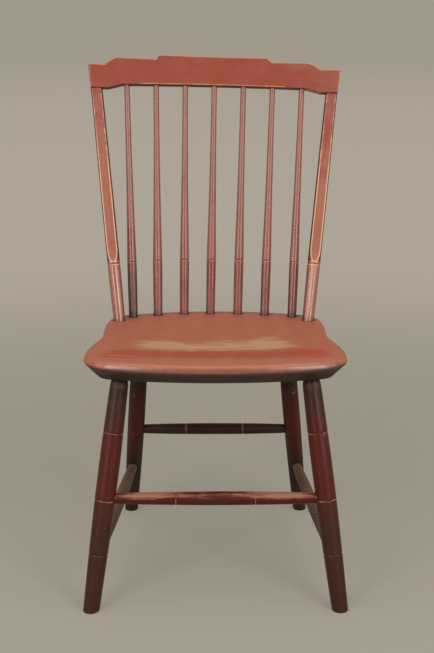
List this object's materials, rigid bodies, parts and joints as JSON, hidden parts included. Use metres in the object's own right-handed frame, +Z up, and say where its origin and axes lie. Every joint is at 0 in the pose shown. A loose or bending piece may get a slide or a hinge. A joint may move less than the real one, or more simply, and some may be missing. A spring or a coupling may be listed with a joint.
{
  "type": "windsor side chair",
  "caption": "Painted wooden Windsor side chair: a shaped, dished plank seat on splayed turned legs with box stretchers, and a back of slim spindles between posts under a stepped crest rail.",
  "frame": {"origin": "on the floor, under the middle of the whole chair's bounding box", "axes": "+Z is up, the chair's front faces -Y, +X is to the right as seen from the front"},
  "size_m": [0.477, 0.4896, 0.9146],
  "materials": {
    "red_paint": "old worn red oil paint with fine ochre lines, satin",
    "dark_red_paint": "old red paint darkened by dirt and handling, satin",
    "bare_peg_wood": "end grain under thin red paint, matte"
  },
  "bodies": {
    "root": {"crest_rail": "red_paint", "front_left_leg": "dark_red_paint", "front_right_leg": "dark_red_paint", "front_stretcher": "dark_red_paint", "left_back_post": "red_paint", "left_crest_peg": "bare_peg_wood", "left_stretcher": "dark_red_paint", "rear_left_leg": "dark_red_paint", "rear_right_leg": "dark_red_paint", "rear_stretcher": "dark_red_paint", "right_back_post": "red_paint", "right_crest_peg": "bare_peg_wood", "right_stretcher": "dark_red_paint", "seat": "red_paint", "spindle_1": "red_paint", "spindle_2": "red_paint", "spindle_3": "red_paint", "spindle_4": "red_paint", "spindle_5": "red_paint", "spindle_6": "red_paint", "spindle_7": "red_paint"}
  },
  "joints": []
}
